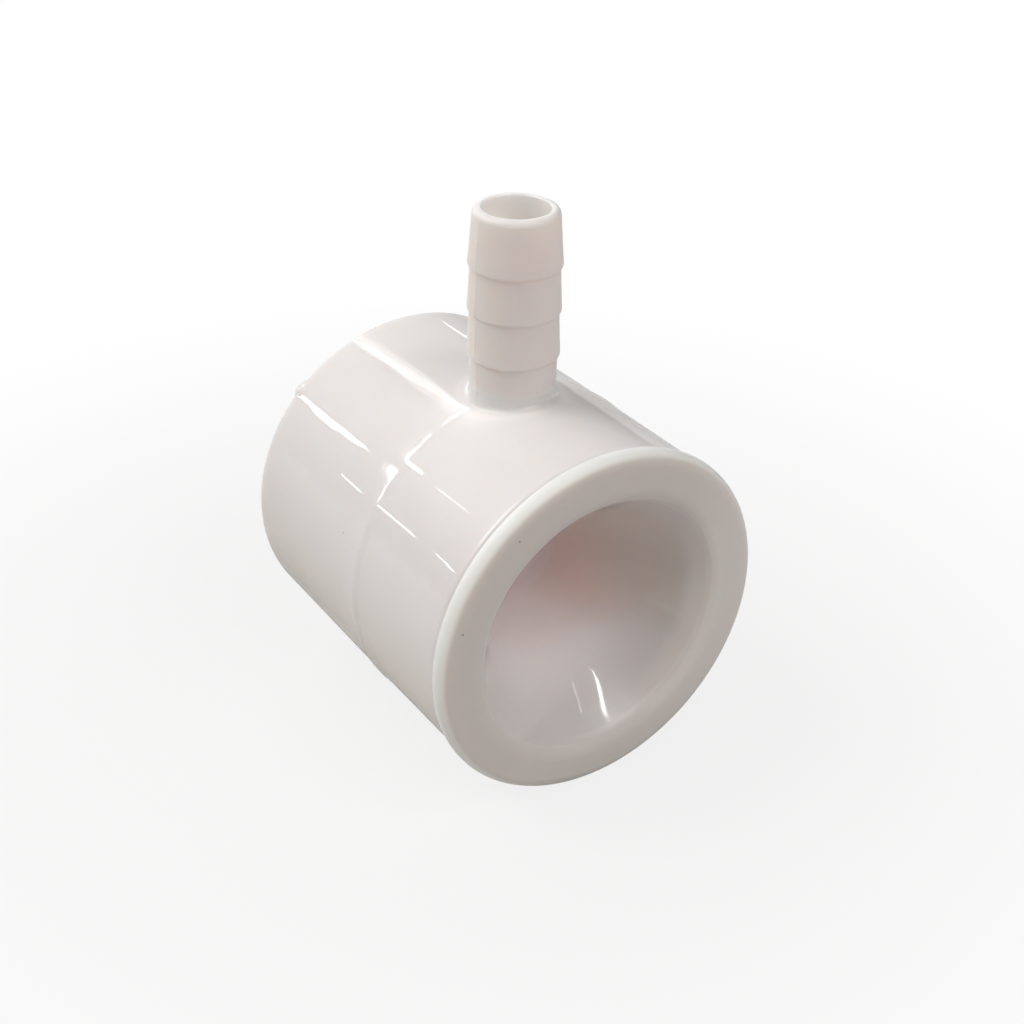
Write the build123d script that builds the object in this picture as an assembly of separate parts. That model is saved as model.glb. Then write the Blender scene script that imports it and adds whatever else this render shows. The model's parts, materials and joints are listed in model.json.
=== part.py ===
from build123d import *
import math
import os

# Venturi injector: a white moulded tee with a hose barb, and a bell-mouthed nozzle
# cemented into its front end. Millimetres. The Y axis is the flow axis, with the
# origin at the pipe stop, the pipe socket towards +Y, the bell mouth towards -Y
# and the hose barb along +Z.

# Body tube
socket_radius = 20.15         # bore for a 40 mm pipe
socket_wall = 4.85            # round that bore, at the rim
mould_draft = 0.3             # degrees, each way from the parting plane
socket_depth = 18.0           # from the rim to the pipe stop
stop_to_barb = 10.8           # from the pipe stop to the barb's axis and the parting plane
stop_to_front = 32.0          # from the pipe stop to the rim that carries the nozzle
rim_chamfer = 0.4             # outer edge of the socket rim
front_edge_round = 1.2        # outer edge of the front rim
parting_ridge_height = 0.15   # low crest all round, at the parting plane
parting_ridge_back = 3.4      # how far its slope reaches towards the socket
parting_ridge_front = 1.8     # and towards the front rim
parting_ridge_top = 0.35      # half the width of its rounded top
parting_ridge_sink = 0.01     # how far its two edges start under the wall

# Inside the body
socket_lead_in = 1.0          # depth of the chamfer at the mouth of the socket
septum_thickness = 3.2        # web between the chamber and the socket
outlet_step = 2.0             # how much wider than the throat the hole in the web is
outlet_lead_in = 1.0          # chamfer of that hole, on the nozzle's side
chamber_wall = 3.5            # round the chamber, at the front rim
chamber_corner = 1.0          # chamfer where the chamber meets the web

# Hose barb
barb_neck_radius = 5.9        # plain neck under the lowest crest
barb_bite = 0.35              # how far each crest stands out past the neck
barb_root_step = 0.05         # how far the foot of each upper barb does
barb_lip_step = 0.15          # how far the top end stays inside the neck
barb_wall = 1.4               # between the neck and the air hole
barb_count = 3
barb_pitch = 6.25
barb_land = 0.3               # straight stretch of each crest
barb_back_slope = 0.4         # height of the short slope under each crest
neck_height = 6.1             # from the tube to the middle of the lowest crest
nose_height = 7.4             # from the middle of the top crest to the barb's end
barb_lip_round = 1.0          # outer edge of the top end
barb_bore_chamfer = 0.2       # inner edge of the top end
barb_foot_round = 0.9
foot_margin = 1.0             # between that round and the end of the parting plane's soft bend
seam_height = 0.06            # parting seam that runs up both sides of the barb
seam_width = 0.3

# Gate mark on the rim of the socket
gate_angle = 44.8             # degrees from the barb, towards -X
gate_ball_radius = 2.0
gate_stand = 0.5              # how far it stands out of the wall
gate_inset = 0.6              # from the rim to its middle

# Nozzle
flange_thickness = 2.3
flange_overhang = 0.5         # how far it stands out past the front rim
flange_edge_round = 1.7
flange_back_chamfer = 0.25
face_width = 2.95             # flat ring between the bell's lip and the rounded edge
bell_lip_round = 3.5
bell_lip_angle = 38.0         # degrees from the flow axis, where the lip meets the bell
bell_wall = 2.5
throat_radius = 7.5
throat_length = 2.5
tip_wall = 1.6
tip_gap = 3.4                 # from the web to the nozzle's tip
skirt_length = 7.0            # the ring that is cemented into the body
skirt_wall = 2.2
skirt_lead_in = 0.5
cement_gap = 0.1              # all round the skirt

# Stations along the flow axis
rim_y = socket_depth
parting_y = -stop_to_barb
front_y = -stop_to_front
web_y = -septum_thickness
face_y = front_y - flange_thickness
tip_y = web_y - tip_gap

# Radii and heights that follow
draft_slope = math.tan(math.radians(mould_draft))
body_radius = socket_radius + socket_wall
parting_radius = body_radius + (rim_y - parting_y) * draft_slope
front_radius = parting_radius - (parting_y - front_y) * draft_slope
chamber_radius = front_radius - chamber_wall
outlet_radius = throat_radius + outlet_step
flange_radius = front_radius + flange_overhang
bell_mouth_radius = flange_radius - flange_edge_round - face_width
skirt_radius = chamber_radius - cement_gap
lowest_crest_height = parting_radius + neck_height
barb_top_height = lowest_crest_height + (barb_count - 1) * barb_pitch + nose_height
barb_peak_radius = barb_neck_radius + barb_bite
barb_root_radius = barb_neck_radius + barb_root_step
barb_lip_radius = barb_neck_radius - barb_lip_step
barb_bore_radius = barb_neck_radius - barb_wall
bend_reach = barb_neck_radius + barb_foot_round + foot_margin


def wall_radius(y):
    """Radius of the two draft slopes at a station, as they meet in the parting plane."""
    return parting_radius - abs(y - parting_y) * draft_slope


def bend_drop(distance):
    """How far the soft bend lies under those slopes, at a distance from the parting plane."""
    return draft_slope * max(bend_reach - distance, 0) ** 2 / (2 * bend_reach)


def parting_crest():
    """Low ring round the tube: two hollow slopes rise out of the wall to a narrow round top."""
    crest = (parting_radius + parting_ridge_height, parting_y)
    root_radius = parting_radius - chamber_wall / 2
    feet = []
    curves = []
    for side, reach in ((1, parting_ridge_back), (-1, parting_ridge_front)):
        foot_radius = wall_radius(parting_y + reach) - bend_drop(reach) - parting_ridge_sink
        foot = (foot_radius, parting_y + side * reach)
        top_share = parting_ridge_top / reach
        shoulder_radius = crest[0] - (crest[0] - foot[0]) * top_share
        shoulder = (shoulder_radius, parting_y + side * parting_ridge_top)
        root = (root_radius, foot[1])
        curves.append(TangentArc(foot, shoulder, tangent=(0, -side)))
        curves.append(TangentArc(crest, shoulder, tangent=(0, side)))
        curves.append(Line(foot, root))
        feet.append(root)
    return revolve(make_face([*curves, Line(*feet)]), Axis.Y)


def tube_section():
    """Half section of the tube without its crest: radius across, flow axis upwards."""
    rim_corner = (body_radius - rim_chamfer, rim_y)
    rim_side = (wall_radius(rim_y - rim_chamfer), rim_y - rim_chamfer)
    bend_back = (wall_radius(parting_y + bend_reach), parting_y + bend_reach)
    bend_front = (wall_radius(parting_y - bend_reach), parting_y - bend_reach)
    front_side = (wall_radius(front_y + front_edge_round), front_y + front_edge_round)
    front_corner = (front_radius - front_edge_round, front_y)
    corner_side = (chamber_radius, web_y - chamber_corner)
    corner_web = (chamber_radius - chamber_corner, web_y)
    entry_web = (outlet_radius + outlet_lead_in, web_y)
    entry_side = (outlet_radius, web_y + outlet_lead_in)
    lead_side = (socket_radius, rim_y - socket_lead_in)
    lead_rim = (socket_radius + socket_lead_in / 2, rim_y)
    outline = [
        Line(rim_corner, rim_side),
        Line(rim_side, bend_back),
        TangentArc(bend_back, bend_front, tangent=(draft_slope, -1)),
        Line(bend_front, front_side),
        TangentArc(front_corner, front_side, tangent=(1, 0)),
        Line(front_corner, (chamber_radius, front_y)),
        Line((chamber_radius, front_y), corner_side),
        Line(corner_side, corner_web),
        Line(corner_web, entry_web),
        Line(entry_web, entry_side),
        Line(entry_side, (outlet_radius, 0)),
        Line((outlet_radius, 0), (socket_radius, 0)),
        Line((socket_radius, 0), lead_side),
        Line(lead_side, lead_rim),
        Line(lead_rim, rim_corner),
    ]
    return make_face(outline)


def barb_outline(extra=0.0):
    """Corners of the barb's side from its foot to its lip, with a given oversize."""
    corners = [(barb_neck_radius + extra, chamber_radius)]
    for index in range(barb_count):
        crest_z = lowest_crest_height + index * barb_pitch
        below = barb_neck_radius if index == 0 else barb_root_radius
        land_z = crest_z - barb_land / 2
        corners.append((below + extra, land_z - barb_back_slope))
        corners.append((barb_peak_radius + extra, land_z))
        corners.append((barb_peak_radius + extra, land_z + barb_land))
    corners.append((barb_lip_radius + extra, barb_top_height - barb_lip_round))
    return corners


def barb_section(extra=0.0):
    """Half section of the barb: radius across, height upwards, solid to its axis."""
    corners = barb_outline(extra)
    lip_top = (barb_lip_radius - barb_lip_round, barb_top_height)
    sides = [Line(start, end) for start, end in zip(corners, corners[1:])]
    sides.append(TangentArc(lip_top, corners[-1], tangent=(1, 0)))
    sides.append(Line(lip_top, (0, barb_top_height)))
    sides.append(Line((0, barb_top_height), (0, chamber_radius)))
    sides.append(Line((0, chamber_radius), corners[0]))
    return make_face(sides)


def stand_on_barb_axis(section):
    """Turns a half section into a round solid on the barb's axis."""
    upright = Plane(origin=(0, parting_y, 0), x_dir=(1, 0, 0), z_dir=(0, -1, 0))
    return revolve(upright * section, Axis((0, parting_y, 0), (0, 0, 1)))


def barb_seam():
    """Fine seam up both sides of the barb, in the parting plane."""
    oversize = stand_on_barb_axis(barb_section(seam_height))
    top = barb_top_height - barb_lip_round
    low = body_radius + barb_foot_round
    sheet = Pos(0, parting_y, (top + low) / 2) * Box(4 * barb_peak_radius, seam_width, top - low)
    return oversize & sheet


def air_bore():
    """Hole from the chamber to the top of the barb, with its chamfered mouth."""
    mouth = (barb_bore_radius + barb_bore_chamfer, barb_top_height)
    below_mouth = (barb_bore_radius, barb_top_height - barb_bore_chamfer)
    low_end = (barb_bore_radius, outlet_radius)
    outline = [
        Line((0, outlet_radius), low_end),
        Line(low_end, below_mouth),
        Line(below_mouth, mouth),
        Line(mouth, (0, barb_top_height)),
        Line((0, barb_top_height), (0, outlet_radius)),
    ]
    return stand_on_barb_axis(make_face(outline))


def gate_mark():
    """Trimmed gate: a low rounded lump on the rim, flush with its end face."""
    depth = body_radius + gate_stand - gate_ball_radius
    turn = math.radians(gate_angle)
    ball = Pos(-depth * math.sin(turn), rim_y - gate_inset, depth * math.cos(turn)) * Sphere(gate_ball_radius)
    behind_rim = Pos(0, rim_y + gate_ball_radius, 0) * Box(
        4 * body_radius, 2 * gate_ball_radius, 4 * body_radius
    )
    return ball - behind_rim


def tee_body():
    """Tube, barb, crest, seam and gate mark as one moulding."""
    moulding = revolve(tube_section(), Axis.Y) + stand_on_barb_axis(barb_section())
    foot = [edge for edge in moulding.edges() if is_barb_foot(edge)]
    moulding = fillet(foot, barb_foot_round)
    moulding = moulding + parting_crest() + barb_seam() + gate_mark()
    return moulding - air_bore()


def is_barb_foot(edge):
    """True for the edges where the neck leaves the tube."""
    middle = edge.position_at(0.5)
    reach = math.hypot(middle.X, middle.Y - parting_y)
    on_neck = abs(reach - barb_neck_radius) < barb_bite / 10
    return on_neck and chamber_radius < middle.Z < parting_radius + neck_height / 4


def nozzle_section():
    """Half section of the nozzle: bell, flange and cemented skirt."""
    lip_turn = math.radians(bell_lip_angle)
    lip_end = (
        bell_mouth_radius - bell_lip_round * math.cos(lip_turn),
        face_y + bell_lip_round * (1 - math.sin(lip_turn)),
    )
    inward = (-math.sin(lip_turn), math.cos(lip_turn))
    throat_start = (throat_radius, tip_y - throat_length)
    bell_back = (lip_end[0] + bell_wall, lip_end[1])
    tip_back = (throat_radius + tip_wall, tip_y - throat_length)
    bell = make_face([
        Line((bell_mouth_radius, face_y), (bell_mouth_radius + bell_wall, face_y)),
        TangentArc((bell_mouth_radius, face_y), lip_end, tangent=(-1, 0)),
        TangentArc(lip_end, throat_start, tangent=inward),
        Line(throat_start, (throat_radius, tip_y)),
        Line((throat_radius, tip_y), (throat_radius + tip_wall, tip_y)),
        Line((throat_radius + tip_wall, tip_y), tip_back),
        TangentArc(bell_back, tip_back, tangent=inward),
        Line(bell_back, (bell_mouth_radius + bell_wall, face_y)),
    ])
    return bell + flange_section() + skirt_section()


def flange_section():
    """Flange from the bell's lip to its rounded edge."""
    inner = bell_mouth_radius
    edge_top = (flange_radius - flange_edge_round, face_y)
    edge_side = (flange_radius, face_y + flange_edge_round)
    back_side = (flange_radius, front_y - flange_back_chamfer)
    back_corner = (flange_radius - flange_back_chamfer, front_y)
    return make_face([
        Line((inner, face_y), edge_top),
        TangentArc(edge_top, edge_side, tangent=(1, 0)),
        Line(edge_side, back_side),
        Line(back_side, back_corner),
        Line(back_corner, (inner, front_y)),
        Line((inner, front_y), (inner, face_y)),
    ])


def skirt_section():
    """Ring that goes into the body's front end."""
    inner = skirt_radius - skirt_wall
    end_y = front_y + skirt_length
    return make_face([
        Line((inner, face_y + flange_thickness / 2), (skirt_radius, face_y + flange_thickness / 2)),
        Line((skirt_radius, face_y + flange_thickness / 2), (skirt_radius, end_y - skirt_lead_in)),
        Line((skirt_radius, end_y - skirt_lead_in), (skirt_radius - skirt_lead_in, end_y)),
        Line((skirt_radius - skirt_lead_in, end_y), (inner, end_y)),
        Line((inner, end_y), (inner, face_y + flange_thickness / 2)),
    ])


def nozzle_insert():
    """Bell-mouthed nozzle as one moulding."""
    return revolve(nozzle_section(), Axis.Y)


os.makedirs("parts", exist_ok=True)
export_step(tee_body(), "parts/tee_body.step")
export_step(nozzle_insert(), "parts/nozzle_insert.step")
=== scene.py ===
"""Venturi injector: the finish of its two white mouldings, and the studio they are shown in."""

import json
import math

import bpy
from mathutils import Matrix, Vector


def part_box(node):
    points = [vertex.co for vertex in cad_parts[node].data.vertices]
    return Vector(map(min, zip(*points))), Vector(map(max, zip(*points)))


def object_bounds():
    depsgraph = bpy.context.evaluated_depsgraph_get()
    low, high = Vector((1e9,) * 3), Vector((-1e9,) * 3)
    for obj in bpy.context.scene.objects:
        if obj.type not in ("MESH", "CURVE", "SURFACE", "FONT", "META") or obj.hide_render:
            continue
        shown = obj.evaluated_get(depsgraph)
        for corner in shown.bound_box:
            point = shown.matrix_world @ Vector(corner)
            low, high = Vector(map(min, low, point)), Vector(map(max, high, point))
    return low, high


bl_info = {
    "name": "Venturi Injector",
    "version": (1, 0, 0),
    "blender": (4, 5, 0),
    "location": "View3D > Sidebar > Venturi",
    "description": "Finishes a moulded venturi injector and sets up a soft studio round it",
    "category": "Object",
}

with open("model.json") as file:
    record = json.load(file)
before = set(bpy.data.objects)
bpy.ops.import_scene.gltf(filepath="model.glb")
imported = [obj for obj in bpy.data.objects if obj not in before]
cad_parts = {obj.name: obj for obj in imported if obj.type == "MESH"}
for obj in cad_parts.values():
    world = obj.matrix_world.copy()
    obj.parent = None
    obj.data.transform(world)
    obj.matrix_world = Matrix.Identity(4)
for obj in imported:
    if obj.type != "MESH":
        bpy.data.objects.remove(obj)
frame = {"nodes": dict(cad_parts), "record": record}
cad_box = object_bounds()

MM = 0.001

# Places on the object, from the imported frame, in metres
BODY_LOW, BODY_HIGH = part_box("tee_body")
NOZZLE_LOW, NOZZLE_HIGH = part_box("nozzle_insert")
TUBE_RADIUS = -BODY_LOW.z
BARB_TOP = BODY_HIGH.z
RIM_Y = BODY_HIGH.y
FACE_Y = NOZZLE_LOW.y
FLANGE_RADIUS = NOZZLE_HIGH.x
BARB_Y = next(m for m in frame["record"]["mounts"] if m["name"] == "air_barb")["pos_m"][1]

# Gate mark on the back rim, as in the part's source
GATE_ANGLE = 44.8                       # degrees from the barb, towards -X
GATE_INSET = 0.6 * MM                   # from the rim to its middle

# Axes that a distance is measured from: 1 across the axis, 0 along it
FROM_FLOW_AXIS = (1, 0, 1)
FROM_BARB_AXIS = (1, 1, 0)

# Plastic of both mouldings
PLASTIC_IOR = 1.49
SCATTER_TINT = (1.0, 0.88, 0.78)

# Unevenness of the mouldings: waves per metre, with a depth where it shapes the surface
CLOUDS = 55.0
POLISH = 90.0
BODY_SINKS = (70.0, 0.015 * MM)
BODY_GRAIN = (700.0, 0.0003 * MM)
NOZZLE_SINKS = (80.0, 0.03 * MM)
NOZZLE_GRAIN = (900.0, 0.0015 * MM)

# How fast each soft light fades away from its middle
WINDOW_SHARPNESS = 21.0
FRONT_SHARPNESS = 18.0
BACK_SHARPNESS = 7.0

# From the object to each strip lamp, in metres
STRIP_DISTANCE = 12.0

# The photograph's camera, fitted to the object's outline
CAMERA_AIM = Vector((3.076, -7.091, 3.054)) * MM
CAMERA_DIRECTION = (214.314, 31.046)    # azimuth and elevation, degrees
CAMERA_ROLL = 1.575                     # degrees
SENSOR_WIDTH = 36.0                     # millimetres
CLIP_START = 0.01                       # metres

# Settings that properties of one kind share
COLOUR = {"subtype": "COLOR", "size": 3, "min": 0.0, "max": 1.0}
FACTOR = {"subtype": "FACTOR", "min": 0.0, "max": 1.0}

# Sockets of a mix node for each kind of data: first input, second input, output
MIX_SOCKETS = {"FLOAT": (2, 3, 0), "VECTOR": (4, 5, 1), "RGBA": (6, 7, 2)}


class VenturiPlastic(bpy.types.PropertyGroup):
    """Colours and gloss of the two mouldings, with the painted light and shade on them."""

    body_colour: bpy.props.FloatVectorProperty(
        name="Body colour", description="Warm white of the tube",
        default=(0.853, 0.818, 0.798), **COLOUR)
    body_tint: bpy.props.FloatVectorProperty(
        name="Body tint", description="Pinkish cloud in the white of the tube",
        default=(0.843, 0.796, 0.776), **COLOUR)
    # Painted shade: a yellower, darker white low down on the tube
    body_painted_low_shade: bpy.props.FloatVectorProperty(
        name="Body underneath", description="Yellower white low down on the tube",
        default=(0.83, 0.77, 0.685), **COLOUR)
    # Painted light: a pinker white on the hose barb, standing in for light let through its
    # thinner wall
    barb_painted_pink: bpy.props.FloatVectorProperty(
        name="Barb colour", description="White of the hose barb's thinner wall",
        default=(0.92, 0.815, 0.785), **COLOUR)
    # Painted light on the barb's lip and on its left side
    barb_painted_light: bpy.props.FloatVectorProperty(
        name="Barb light", description="Clearer white of the barb's lip and thin side",
        default=(0.93, 0.83, 0.775), **COLOUR)
    # Painted light: a lighter white on the rounded foot under the barb, where a glint falls
    foot_painted_light: bpy.props.FloatVectorProperty(
        name="Foot light", description="Clearer white of the rounded foot under the barb",
        default=(0.93, 0.872, 0.84), **COLOUR)
    # Painted light inside the barb's air way
    bore_painted_light: bpy.props.FloatVectorProperty(
        name="Bore colour", description="Lit white of the air way inside the barb's lip",
        default=(1.0, 0.91, 0.875), **COLOUR)
    face_colour: bpy.props.FloatVectorProperty(
        name="Face colour", description="Greyed white of the flange's front face",
        default=(0.752, 0.695, 0.65), **COLOUR)
    # Painted light on the front face towards the lower right
    face_painted_light: bpy.props.FloatVectorProperty(
        name="Face light", description="Lighter white of the front face at the lower right",
        default=(0.834, 0.772, 0.73), **COLOUR)
    # Painted light on the flange's rounded edge, which catches the light
    edge_painted_light: bpy.props.FloatVectorProperty(
        name="Edge colour", description="Clean white of the flange's rounded edge",
        default=(0.975, 0.91, 0.85), **COLOUR)
    # Painted light on the bell's lip at the right
    lip_painted_light: bpy.props.FloatVectorProperty(
        name="Lip light", description="Lighter white of the bell's lip on the right",
        default=(0.875, 0.812, 0.772), **COLOUR)
    bell_colour: bpy.props.FloatVectorProperty(
        name="Bell colour", description="Cooler white of the bell's wall near its mouth",
        default=(0.785, 0.74, 0.722), **COLOUR)
    # Painted pink light deep in the bell, high up
    bell_painted_pink_high: bpy.props.FloatVectorProperty(
        name="Bell depth", description="Pink of the plastic deep in the bell, high up",
        default=(0.915, 0.74, 0.695), **COLOUR)
    # Painted light half way down the bell's lower wall
    bell_painted_light: bpy.props.FloatVectorProperty(
        name="Bell light", description="Lighter white half way down the bell's lower wall",
        default=(0.885, 0.84, 0.83), **COLOUR)
    # Painted pink light deep in the bell, low down
    bell_painted_pink_low: bpy.props.FloatVectorProperty(
        name="Bell floor", description="Pink of the plastic deep in the bell, low down",
        default=(0.96, 0.81, 0.80), **COLOUR)
    throat_colour: bpy.props.FloatVectorProperty(
        name="Throat colour", description="Lighter pink at the throat, lit through from behind",
        default=(1.0, 0.80, 0.79), **COLOUR)
    bell_shade: bpy.props.FloatVectorProperty(
        name="Bell shade", description="Greyer white high up on the bell's right",
        default=(0.745, 0.67, 0.61), **COLOUR)
    speck_colour: bpy.props.FloatVectorProperty(
        name="Speck colour", description="Dark specks in the plastic",
        default=(0.34, 0.31, 0.29), **COLOUR)
    body_roughness: bpy.props.FloatProperty(
        name="Body roughness", description="Polish of the tube",
        default=0.02, **FACTOR)
    barb_roughness: bpy.props.FloatProperty(
        name="Barb roughness", description="Softer finish of the hose barb",
        default=0.38, **FACTOR)
    face_roughness: bpy.props.FloatProperty(
        name="Face roughness", description="Satin finish of the front face",
        default=0.5, **FACTOR)
    bell_roughness: bpy.props.FloatProperty(
        name="Bell roughness", description="Polish of the bell's wall",
        default=0.06, **FACTOR)
    crest_softness: bpy.props.FloatProperty(
        name="Crest softness", description="How far the gloss rides over the parting crest",
        default=0.98, **FACTOR)
    scatter_depth: bpy.props.FloatProperty(
        name="Scatter depth", description="How far light wanders inside the plastic",
        subtype="DISTANCE", unit="LENGTH", min=0.0, default=0.002)


class VenturiStudio(bpy.types.PropertyGroup):
    """Floor, lamps and camera."""

    floor_size: bpy.props.FloatProperty(
        name="Floor size", description="Side of the square floor",
        subtype="DISTANCE", unit="LENGTH", min=0.5, default=6.0)
    floor_colour: bpy.props.FloatVectorProperty(
        name="Floor colour", description="Pale floor that the object stands on",
        default=(0.56, 0.55, 0.54), **COLOUR)
    floor_near: bpy.props.FloatProperty(
        name="Floor by the object",
        description="Share of plain white in the floor beside the object",
        default=0.82, **FACTOR)
    floor_in_gloss: bpy.props.FloatProperty(
        name="Floor in gloss", description="How much of the floor's white the gloss mirrors",
        default=0.15, **FACTOR)
    window_light: bpy.props.FloatVectorProperty(
        name="Window light",
        description="Soft light high on the left: azimuth, elevation, strength",
        size=3, default=(300.0, 49.0, 6.7))
    front_light: bpy.props.FloatVectorProperty(
        name="Front light",
        description="Soft light in front of the bell: azimuth, elevation, strength",
        size=3, default=(167.0, 46.0, 3.8))
    back_light: bpy.props.FloatVectorProperty(
        name="Back light",
        description="Low soft light behind: azimuth, elevation, strength",
        size=3, default=(2.0, 13.0, 1.8))
    strip_radiance: bpy.props.FloatProperty(
        name="Strip brightness", description="Radiance of the strip lamps that the gloss mirrors",
        min=0.0, default=22.0)
    camera_distance: bpy.props.FloatProperty(
        name="Camera distance", description="From the point that the camera looks at",
        subtype="DISTANCE", unit="LENGTH", min=0.01, default=0.23236)
    camera_lens: bpy.props.FloatProperty(
        name="Lens", description="Focal length on a 36 mm sensor",
        subtype="DISTANCE_CAMERA", unit="CAMERA", min=1.0, default=56.49)


class Nodes:
    """Adds shader nodes to one tree, each linked as it is made."""

    def __init__(self, tree):
        self.tree = tree
        self.tree.nodes.clear()

    def add(self, kind, inputs=None, **settings):
        """New node with its settings, fed by values or by other nodes' outputs."""
        node = self.tree.nodes.new(kind)
        for name, value in settings.items():
            setattr(node, name, value)
        for key, value in (inputs or {}).items():
            self.feed(node.inputs[key], value)
        return node

    def feed(self, socket, value):
        if isinstance(value, bpy.types.NodeSocket):
            self.tree.links.new(value, socket)
        else:
            socket.default_value = value

    def coordinates(self):
        """Object coordinates: the place, and its parts by their letters."""
        place = self.add("ShaderNodeTexCoord").outputs["Object"]
        return place, self.add("ShaderNodeSeparateXYZ", {"Vector": place}).outputs

    def math(self, operation, *values):
        node = self.add("ShaderNodeMath", dict(enumerate(values)), operation=operation)
        return node.outputs[0]

    def both(self, first, second):
        """Mask that holds where two masks do."""
        return self.math("MULTIPLY", first, second)

    def either(self, first, second):
        """Mask that holds where one of two masks does."""
        return self.math("MAXIMUM", first, second)

    def ramp(self, value, low, high, start=0.0, end=1.0):
        """Smooth step: start where the value is low, end where it is high."""
        node = self.add(
            "ShaderNodeMapRange",
            {"Value": value, "From Min": low, "From Max": high, "To Min": start, "To Max": end},
            interpolation_type="SMOOTHSTEP")
        return node.outputs[0]

    def mix(self, kind, factor, first, second):
        """Number, direction or colour between two others."""
        first_socket, second_socket, output = MIX_SOCKETS[kind]
        inputs = {0: factor, first_socket: first, second_socket: second}
        return self.add("ShaderNodeMix", inputs, data_type=kind).outputs[output]

    def blend(self, factor, first, second):
        """Colour between two colours, each a plain one or a node's output."""
        return self.mix("RGBA", factor, rgba(first), rgba(second))

    def vector(self, operation, *values, output="Vector"):
        node = self.add("ShaderNodeVectorMath", dict(enumerate(values)), operation=operation)
        return node.outputs[output]

    def along(self, place, way):
        """How far a place lies along a direction."""
        return self.vector("DOT_PRODUCT", place, way, output="Value")

    def distance(self, first, second):
        return self.vector("DISTANCE", first, second, output="Value")

    def from_axis(self, place, axis):
        """Distance of a place from an axis through the origin."""
        return self.vector("LENGTH", self.vector("MULTIPLY", place, axis), output="Value")

    def noise(self, place, scale, detail=2.0):
        node = self.add(
            "ShaderNodeTexNoise", {"Vector": place, "Scale": scale, "Detail": detail})
        return node.outputs["Fac"]

    def bump(self, height, distance, normal=None):
        inputs = {"Height": height, "Distance": distance, "Strength": 1.0}
        if normal is not None:
            inputs["Normal"] = normal
        return self.add("ShaderNodeBump", inputs).outputs["Normal"]

    def uneven(self, place, sinks, grain, normal=None):
        """Surface direction with sink marks and fine grain, each given as (scale, depth)."""
        sink_scale, sink_depth = sinks
        grain_scale, grain_depth = grain
        normal = self.bump(self.noise(place, sink_scale, 1.0), sink_depth, normal)
        return self.bump(self.noise(place, grain_scale), grain_depth, normal)


def rgba(colour):
    """Colour with full opacity; a node's output stays as it is."""
    return colour if isinstance(colour, bpy.types.NodeSocket) else (*colour, 1.0)


def outward(degrees):
    """Direction away from the flow axis: its angle runs from the barb towards -X."""
    turn = math.radians(degrees)
    return Vector((-math.sin(turn), 0, math.cos(turn)))


def on_wall(radius, degrees, y):
    """Point on a round wall about the flow axis."""
    return radius * outward(degrees) + Vector((0, y, 0))


def new_material(name):
    material = bpy.data.materials.new(name)
    material.use_nodes = True
    return material, Nodes(material.node_tree)


def specked(nodes, plastic, place, colour, specks):
    """Colour with dark specks, each given as (point, radius)."""
    mask = 0.0
    for point, radius in specks:
        mask = nodes.either(mask, nodes.ramp(nodes.distance(place, point), radius, 0.5 * radius))
    return nodes.blend(mask, colour, plastic.speck_colour)


def finish_plastic(nodes, plastic, colour, roughness, normal):
    """The shader of both mouldings, with the constants that they share."""
    shader = nodes.add("ShaderNodeBsdfPrincipled", {
        "Base Color": colour,
        "Roughness": roughness,
        "Normal": normal,
        "IOR": PLASTIC_IOR,
        "Subsurface Weight": 1.0,
        "Subsurface Radius": SCATTER_TINT,
        "Subsurface Scale": plastic.scatter_depth,
    })
    nodes.add("ShaderNodeOutputMaterial", {"Surface": shader.outputs[0]})


def wall_normal(nodes, place, across, softness):
    """Surface direction of the tube's wall, eased over the parting crest and the gate mark."""
    own = nodes.add("ShaderNodeNewGeometry").outputs["Normal"]
    wall = nodes.vector("NORMALIZE", nodes.vector("MULTIPLY", place, FROM_FLOW_AXIS))
    # The cosine keeps the barb, its foot and the seam out: they lean further than the crest does
    nearly_wall = nodes.ramp(nodes.along(own, wall), 0.95, 0.98)
    from_crest = nodes.math("ABSOLUTE", nodes.math("SUBTRACT", across["Y"], BARB_Y))
    at_crest = nodes.ramp(from_crest, 4.5 * MM, 3.6 * MM)
    high_up = nodes.ramp(across["Z"], 9.0 * MM, 13.0 * MM, end=softness)
    eased = nodes.both(nodes.both(nearly_wall, at_crest), high_up)
    gate = on_wall(TUBE_RADIUS, GATE_ANGLE, RIM_Y - GATE_INSET)
    at_gate = nodes.ramp(nodes.distance(place, gate), 2.0 * MM, 1.4 * MM, end=0.75)
    between = nodes.mix("VECTOR", nodes.either(eased, at_gate), own, wall)
    return nodes.vector("NORMALIZE", between)


def tube_white(nodes, plastic, place, across):
    """Warm white with pinkish clouds, and painted warm shade low down on the tube's outside."""
    clouds = nodes.ramp(nodes.noise(place, CLOUDS), 0.4, 0.7)
    colour = nodes.blend(clouds, plastic.body_colour, plastic.body_tint)
    radius = nodes.from_axis(place, FROM_FLOW_AXIS)
    outside = nodes.ramp(radius, TUBE_RADIUS - 3.0 * MM, TUBE_RADIUS - 1.0 * MM)
    # Painted warm shade, stronger further down the tube's outside
    low_down = nodes.ramp(across["Z"], 8.0 * MM, -14.0 * MM)
    return nodes.blend(nodes.both(low_down, outside), colour, plastic.body_painted_low_shade)


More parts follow.
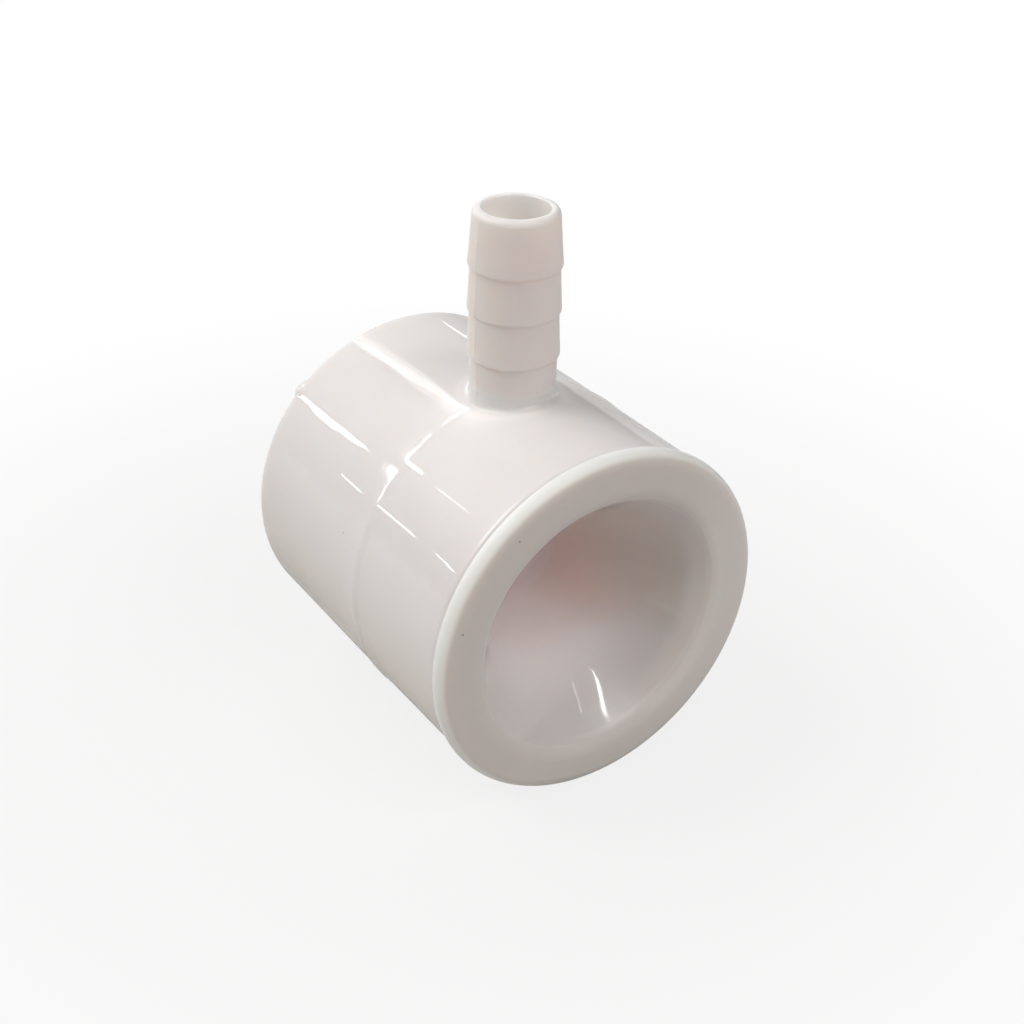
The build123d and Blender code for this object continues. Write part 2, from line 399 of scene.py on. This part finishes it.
def barb_white(nodes, plastic, place, across, on_barb, tube):
    """Painted light on the barb: pinker white, and lighter at its lip, left side, foot and air
    way.
    """
    # Painted light: the barb takes a pinker white than the tube
    colour = nodes.blend(on_barb, tube, plastic.barb_painted_pink)
    # Painted light: lighter at the barb's lip and along its left side
    at_lip = nodes.ramp(across["Z"], BARB_TOP - 2.2 * MM, BARB_TOP - 1.4 * MM, end=0.7)
    lit_left_side = nodes.both(on_barb, nodes.ramp(across["X"], -3.8 * MM, -5.4 * MM, end=0.8))
    colour = nodes.blend(nodes.either(at_lip, lit_left_side), colour, plastic.barb_painted_light)
    radius = nodes.from_axis(nodes.vector("SUBTRACT", place, (0, BARB_Y, 0)), FROM_BARB_AXIS)
    # Painted light on the rounded foot under the barb
    at_foot = nodes.both(
        nodes.ramp(across["Z"], TUBE_RADIUS + 2.6 * MM, TUBE_RADIUS + 0.6 * MM),
        nodes.ramp(radius, 8.6 * MM, 7.0 * MM))
    colour = nodes.blend(at_foot, colour, plastic.foot_painted_light)
    # Painted light in the air way inside the barb's lip
    in_bore = nodes.both(on_barb, nodes.ramp(radius, 5.2 * MM, 4.6 * MM))
    return nodes.blend(in_bore, colour, plastic.bore_painted_light)


def body_material(plastic):
    """Glossy warm white, softer on the barb, with faint clouds, sink marks, a few specks, and
    painted light and shade on the barb and low on the tube.
    """
    material, nodes = new_material("body_plastic")
    place, across = nodes.coordinates()
    on_barb = nodes.ramp(across["Z"], TUBE_RADIUS, TUBE_RADIUS + 2.0 * MM)
    tube = tube_white(nodes, plastic, place, across)
    white = barb_white(nodes, plastic, place, across, on_barb, tube)
    colour = specked(nodes, plastic, place, white, [
        (on_wall(TUBE_RADIUS, 72.0, -6.2 * MM), 0.26 * MM),
        (on_wall(TUBE_RADIUS, 71.0, -7.2 * MM), 0.2 * MM),
        (on_wall(TUBE_RADIUS, 13.8, -27.0 * MM), 0.2 * MM),
    ])
    polish = nodes.ramp(
        nodes.noise(place, POLISH), 0.3, 0.7,
        start=0.8 * plastic.body_roughness, end=1.3 * plastic.body_roughness)
    roughness = nodes.mix("FLOAT", on_barb, polish, plastic.barb_roughness)
    wall = wall_normal(nodes, place, across, plastic.crest_softness)
    normal = nodes.uneven(place, BODY_SINKS, BODY_GRAIN, wall)
    finish_plastic(nodes, plastic, colour, roughness, normal)
    return material


def bell_white(nodes, plastic, place, across, radius):
    """Cool at the mouth, with painted pink light deep inside and at the throat, painted light
    half way down on the left, and painted shade high on the right.
    """
    # Painted light half way down the bell's lower left wall
    low_left = nodes.ramp(nodes.along(place, outward(165.0)), 3.0 * MM, 9.0 * MM)
    half_way = nodes.both(low_left, nodes.ramp(radius, 16.0 * MM, 11.0 * MM))
    colour = nodes.blend(half_way, plastic.bell_colour, plastic.bell_painted_light)
    # Low on the left the pink starts deeper, so the radius counts for more there
    widened = nodes.math("MULTIPLY", radius, nodes.math("MULTIPLY_ADD", low_left, 0.2, 1.0))
    # Painted pink light deep in the bell, one pink for the lower wall and one for the upper
    pink = nodes.blend(low_left, plastic.bell_painted_pink_high, plastic.bell_painted_pink_low)
    colour = nodes.blend(nodes.ramp(widened, 16.0 * MM, 8.0 * MM), colour, pink)
    high_right = nodes.ramp(
        nodes.along(place, outward(-60.0)), 5.0 * MM, 12.0 * MM, end=0.85)
    shaded = nodes.both(high_right, nodes.ramp(radius, 19.0 * MM, 14.5 * MM))
    colour = nodes.blend(shaded, colour, plastic.bell_shade)
    at_throat = nodes.ramp(across["Y"], -12.2 * MM, -10.8 * MM)
    return nodes.blend(at_throat, colour, plastic.throat_colour)


def face_white(nodes, plastic, place, radius):
    """Greyed, with painted light at the lower right and on the flange's rounded edge."""
    # Painted light: the front face lighter towards the lower right
    low_right = nodes.ramp(nodes.along(place, outward(-126.9)), -8.0 * MM, 18.0 * MM)
    colour = nodes.blend(low_right, plastic.face_colour, plastic.face_painted_light)
    # Painted light on the flange's rounded edge
    on_edge = nodes.ramp(radius, FLANGE_RADIUS - 1.05 * MM, FLANGE_RADIUS - 0.4 * MM)
    return nodes.blend(on_edge, colour, plastic.edge_painted_light)


def nozzle_material(plastic):
    """Satin front face, and a polished bell with painted pink light towards its throat."""
    material, nodes = new_material("nozzle_plastic")
    place, across = nodes.coordinates()
    radius = nodes.from_axis(place, FROM_FLOW_AXIS)
    in_bell = nodes.ramp(radius, 20.6 * MM, 17.0 * MM)
    face = face_white(nodes, plastic, place, radius)
    bell = bell_white(nodes, plastic, place, across, radius)
    white = nodes.blend(in_bell, face, bell)
    # Painted light on the right of the bell's lip
    on_lip = nodes.both(
        nodes.ramp(radius, 16.0 * MM, 17.4 * MM), nodes.ramp(radius, 21.0 * MM, 19.6 * MM))
    on_right = nodes.ramp(nodes.along(place, outward(-105.0)), 9.0 * MM, 17.0 * MM)
    white = nodes.blend(nodes.both(on_lip, on_right), white, plastic.lip_painted_light)
    colour = specked(nodes, plastic, place, white, [
        (on_wall(23.5 * MM, 72.0, FACE_Y), 0.2 * MM),
        (on_wall(23.1 * MM, 38.0, FACE_Y), 0.18 * MM),
    ])
    roughness = nodes.mix("FLOAT", in_bell, plastic.face_roughness, plastic.bell_roughness)
    normal = nodes.uneven(place, NOZZLE_SINKS, NOZZLE_GRAIN)
    finish_plastic(nodes, plastic, colour, roughness, normal)
    return material


def dress(node, material):
    """Gives a CAD node its material."""
    piece = frame["nodes"][node]
    piece.data.materials.clear()
    piece.data.materials.append(material)


def direction(azimuth, elevation):
    """Unit vector: azimuth runs from +Y towards +X, elevation up from the floor, in degrees."""
    a = math.radians(azimuth)
    e = math.radians(elevation)
    return Vector((math.sin(a) * math.cos(e), math.cos(a) * math.cos(e), math.sin(e)))


def stand(name, data, place, right, up, back):
    """Puts a lamp or a camera at a place, with its back turned to a given direction."""
    turn = Matrix((right, up, back)).transposed().to_4x4()
    holder = bpy.data.objects.new(name, data)
    holder.matrix_world = Matrix.Translation(place) @ turn
    bpy.context.scene.collection.objects.link(holder)
    return holder


def strip_lamp(name, start, end, thickness, radiance):
    """Long thin lamp that faces the object, between two directions as (azimuth, elevation)."""
    first = direction(*start)
    last = direction(*end)
    back = (first + last).normalized()
    right = (last - first).cross(back).normalized()
    lamp = bpy.data.lights.new(name, "AREA")
    lamp.shape = "RECTANGLE"
    lamp.size = 2 * STRIP_DISTANCE * math.tan(math.radians(thickness / 2))
    lamp.size_y = (last - first).length * STRIP_DISTANCE
    lamp.energy = radiance * math.pi * lamp.size * lamp.size_y
    stand(name, lamp, back * STRIP_DISTANCE, right, back.cross(right), back)


def streak_on_top(glow):
    """Broad soft streak on top of the tube, behind the barb, that fans out at the barb's foot."""
    strip_lamp("strip_top_rim", (2.0, 36.4), (6.0, 37.6), 1.2, 0.12 * glow)
    strip_lamp("strip_top", (4.5, 37.3), (11.2, 39.3), 2.4, 0.07 * glow)
    strip_lamp("strip_top_soft", (3.5, 37.0), (11.8, 39.6), 5.0, 0.05 * glow)
    strip_lamp("strip_top_wide", (4.5, 37.4), (10.0, 40.0), 8.5, 0.025 * glow)
    strip_lamp("strip_top_fan", (10.2, 39.7), (1.7, 40.8), 0.7, 0.05 * glow)


def line_down_crest(glow):
    """Thin line down the parting crest from the barb's foot, and its turn onto the front wall."""
    strip_lamp("strip_crest_1", (11.25, 40.2), (1.8, 41.5), 0.26, 1.1 * glow)
    strip_lamp("strip_crest_2", (1.8, 41.3), (-5.5, 41.0), 0.22, 0.9 * glow)
    strip_lamp("strip_crest_3", (-14.5, 38.9), (-22.3, 35.5), 0.22, 0.9 * glow)
    strip_lamp("strip_crest_4", (-22.3, 35.5), (-29.5, 30.0), 0.26, 1.1 * glow)
    strip_lamp("strip_corner", (-29.4, 29.9), (-30.0, 30.7), 1.3, 0.8 * glow)
    strip_lamp("strip_front_line", (-31.5, 30.9), (-32.5, 32.1), 0.35, 0.45 * glow)


def streak_from_gate(glow):
    """Bright streak on the back wall that starts at the gate mark and narrows."""
    strip_lamp("strip_left", (-30.9, 20.4), (-31.35, 21.0), 3.0, glow)
    strip_lamp("strip_left_middle", (-31.35, 21.0), (-31.6, 22.0), 2.0, 0.8 * glow)
    strip_lamp("strip_left_narrow", (-31.6, 22.0), (-31.9, 22.5), 1.4, 0.8 * glow)
    strip_lamp("strip_left_tail", (-31.9, 22.5), (-32.35, 23.15), 0.8, 0.7 * glow)


def lines_low_on_left(glow):
    """Thin lines lower down: along the crest, behind it, and in front of it to the joint."""
    strip_lamp("strip_hook_2", (-33.12, 25.41), (-36.37, 20.33), 0.34, glow)
    strip_lamp("strip_hook_3", (-36.3, 20.75), (-38.45, 15.8), 0.22, 0.8 * glow)
    strip_lamp("strip_hook_4", (-38.6, 15.87), (-40.0, 10.85), 0.22, 0.7 * glow)
    strip_lamp("strip_low_1", (-38.0, 8.4), (-39.4, 8.9), 0.6, 0.7 * glow)
    strip_lamp("strip_low_2", (-40.5, 9.95), (-42.45, 10.8), 0.6, 0.8 * glow)
    strip_lamp("strip_low_3", (-43.5, 11.65), (-44.5, 10.8), 0.5, 0.7 * glow)
    strip_lamp("strip_low_4", (-47.0, 13.0), (-62.3, 21.9), 0.8, 0.8 * glow)


def glints_at_foot(glow):
    """Glints on the barb's rounded foot, and a faint line on the far side of the tube."""
    strip_lamp("strip_foot_1", (20.7, 44.1), (34.2, 35.7), 0.8, glow)
    strip_lamp("strip_foot_2", (34.2, 35.7), (42.8, 23.8), 0.8, glow)
    strip_lamp("strip_far", (36.8, 13.5), (40.0, 12.9), 1.2, 0.12 * glow)


def streaks_in_bell(glow):
    """Bright streak low in the bell, and a faint one left of it."""
    strip_lamp("strip_bell_1", (152.0, 57.2), (161.0, 63.6), 2.1, glow)
    strip_lamp("strip_bell_2", (161.0, 63.6), (178.0, 72.2), 1.7, glow)
    strip_lamp("strip_bell_3", (118.9, 63.8), (124.7, 51.0), 1.0, 0.35 * glow)


def floor_material(studio):
    """Pale matt floor, lifted to white for the camera, that keeps the object's shadow."""
    material, nodes = new_material("floor")
    place = nodes.add("ShaderNodeTexCoord").outputs["Object"]
    away = nodes.vector("LENGTH", place, output="Value")
    white = nodes.ramp(away, BARB_TOP, 3.0 * BARB_TOP, start=studio.floor_near)
    path = nodes.add("ShaderNodeLightPath").outputs
    seen = nodes.either(path["Is Camera Ray"], path["Is Transmission Ray"])
    mirrored = nodes.math("MULTIPLY", path["Is Glossy Ray"], studio.floor_in_gloss)
    share = nodes.both(white, nodes.either(seen, mirrored))
    matt = nodes.add("ShaderNodeBsdfDiffuse", {"Color": rgba(studio.floor_colour)}).outputs[0]
    glow = nodes.add("ShaderNodeEmission", {"Color": (1, 1, 1, 1), "Strength": 1.0}).outputs[0]
    surface = nodes.add("ShaderNodeMixShader", {0: share, 1: matt, 2: glow}).outputs[0]
    nodes.add("ShaderNodeOutputMaterial", {"Surface": surface})
    return material


def lay_floor(studio):
    """Square floor that the object stands on."""
    bpy.ops.object.select_all(action="DESELECT")
    bpy.ops.mesh.primitive_plane_add(size=studio.floor_size, location=(0, 0, cad_box[0].z))
    floor = bpy.context.active_object
    floor.name = "floor"
    bpy.ops.object.transform_apply(location=True, rotation=True, scale=True)
    floor.data.materials.append(floor_material(studio))


def soft_light(nodes, way, light, sharpness):
    """Strength of a broad light that fades smoothly away from its middle."""
    azimuth, elevation, strength = light
    facing = nodes.along(way, direction(azimuth, elevation))
    fade = nodes.math("POWER", nodes.math("MAXIMUM", facing, 0.0), sharpness)
    return nodes.math("MULTIPLY", fade, strength)


def light_world(studio):
    """Three broad soft lights round the object."""
    world = bpy.data.worlds.new("studio")
    bpy.context.scene.world = world
    world.use_nodes = True
    nodes = Nodes(world.node_tree)
    way = nodes.add("ShaderNodeTexCoord").outputs["Generated"]
    window = soft_light(nodes, way, studio.window_light, WINDOW_SHARPNESS)
    front = soft_light(nodes, way, studio.front_light, FRONT_SHARPNESS)
    back = soft_light(nodes, way, studio.back_light, BACK_SHARPNESS)
    strength = nodes.math("ADD", nodes.math("ADD", window, front), back)
    sky = nodes.add("ShaderNodeBackground", {"Color": (1, 1, 1, 1), "Strength": strength})
    nodes.add("ShaderNodeOutputWorld", {"Surface": sky.outputs[0]})


def place_camera(studio):
    """Camera at the photograph's angle."""
    back = direction(*CAMERA_DIRECTION)
    level = Vector((0, 0, 1)).cross(back).normalized()
    upright = back.cross(level)
    roll = math.radians(CAMERA_ROLL)
    right = level * math.cos(roll) + upright * math.sin(roll)
    up = upright * math.cos(roll) - level * math.sin(roll)
    camera = bpy.data.cameras.new("camera")
    camera.sensor_width = SENSOR_WIDTH
    camera.lens = studio.camera_lens
    camera.clip_start = CLIP_START
    place = CAMERA_AIM + back * studio.camera_distance
    bpy.context.scene.camera = stand("camera", camera, place, right, up, back)


class VENTURI_OT_tee_body(bpy.types.Operator):
    """Finish the tee body: glossy tube, softer hose barb, faint clouds and specks"""

    bl_idname = "venturi.tee_body"
    bl_label = "Finish Tee Body"

    def execute(self, context):
        dress("tee_body", body_material(context.scene.venturi_plastic))
        return {"FINISHED"}


class VENTURI_OT_nozzle_insert(bpy.types.Operator):
    """Finish the nozzle: satin front face and polished bell"""

    bl_idname = "venturi.nozzle_insert"
    bl_label = "Finish Nozzle Insert"

    def execute(self, context):
        dress("nozzle_insert", nozzle_material(context.scene.venturi_plastic))
        return {"FINISHED"}


class VENTURI_OT_stage(bpy.types.Operator):
    """Set up the pale floor, the soft lamps and the camera"""

    bl_idname = "venturi.stage"
    bl_label = "Set Up Studio"

    def execute(self, context):
        studio = context.scene.venturi_studio
        lay_floor(studio)
        light_world(studio)
        glow = studio.strip_radiance
        streak_on_top(glow)
        line_down_crest(glow)
        streak_from_gate(glow)
        lines_low_on_left(glow)
        glints_at_foot(glow)
        streaks_in_bell(glow)
        place_camera(studio)
        context.scene.view_settings.view_transform = "Standard"
        return {"FINISHED"}


class VENTURI_PT_panel(bpy.types.Panel):
    """Buttons that finish the pieces and set up the studio"""

    bl_idname = "VENTURI_PT_panel"
    bl_label = "Venturi Injector"
    bl_space_type = "VIEW_3D"
    bl_region_type = "UI"
    bl_category = "Venturi"

    def draw(self, context):
        layout = self.layout
        for operator in OPERATORS:
            layout.operator(operator.bl_idname)
        for settings in (context.scene.venturi_plastic, context.scene.venturi_studio):
            box = layout.box()
            for name in settings.__annotations__:
                box.prop(settings, name)


OPERATORS = (VENTURI_OT_tee_body, VENTURI_OT_nozzle_insert, VENTURI_OT_stage)
CLASSES = (VenturiPlastic, VenturiStudio, *OPERATORS, VENTURI_PT_panel)


def register():
    for item in CLASSES:
        bpy.utils.register_class(item)
    bpy.types.Scene.venturi_plastic = bpy.props.PointerProperty(type=VenturiPlastic)
    bpy.types.Scene.venturi_studio = bpy.props.PointerProperty(type=VenturiStudio)


def unregister():
    del bpy.types.Scene.venturi_studio
    del bpy.types.Scene.venturi_plastic
    for item in reversed(CLASSES):
        bpy.utils.unregister_class(item)


def main():
    register()
    bpy.ops.venturi.tee_body()
    bpy.ops.venturi.nozzle_insert()
    bpy.ops.venturi.stage()


if __name__ == "__main__":
    main()
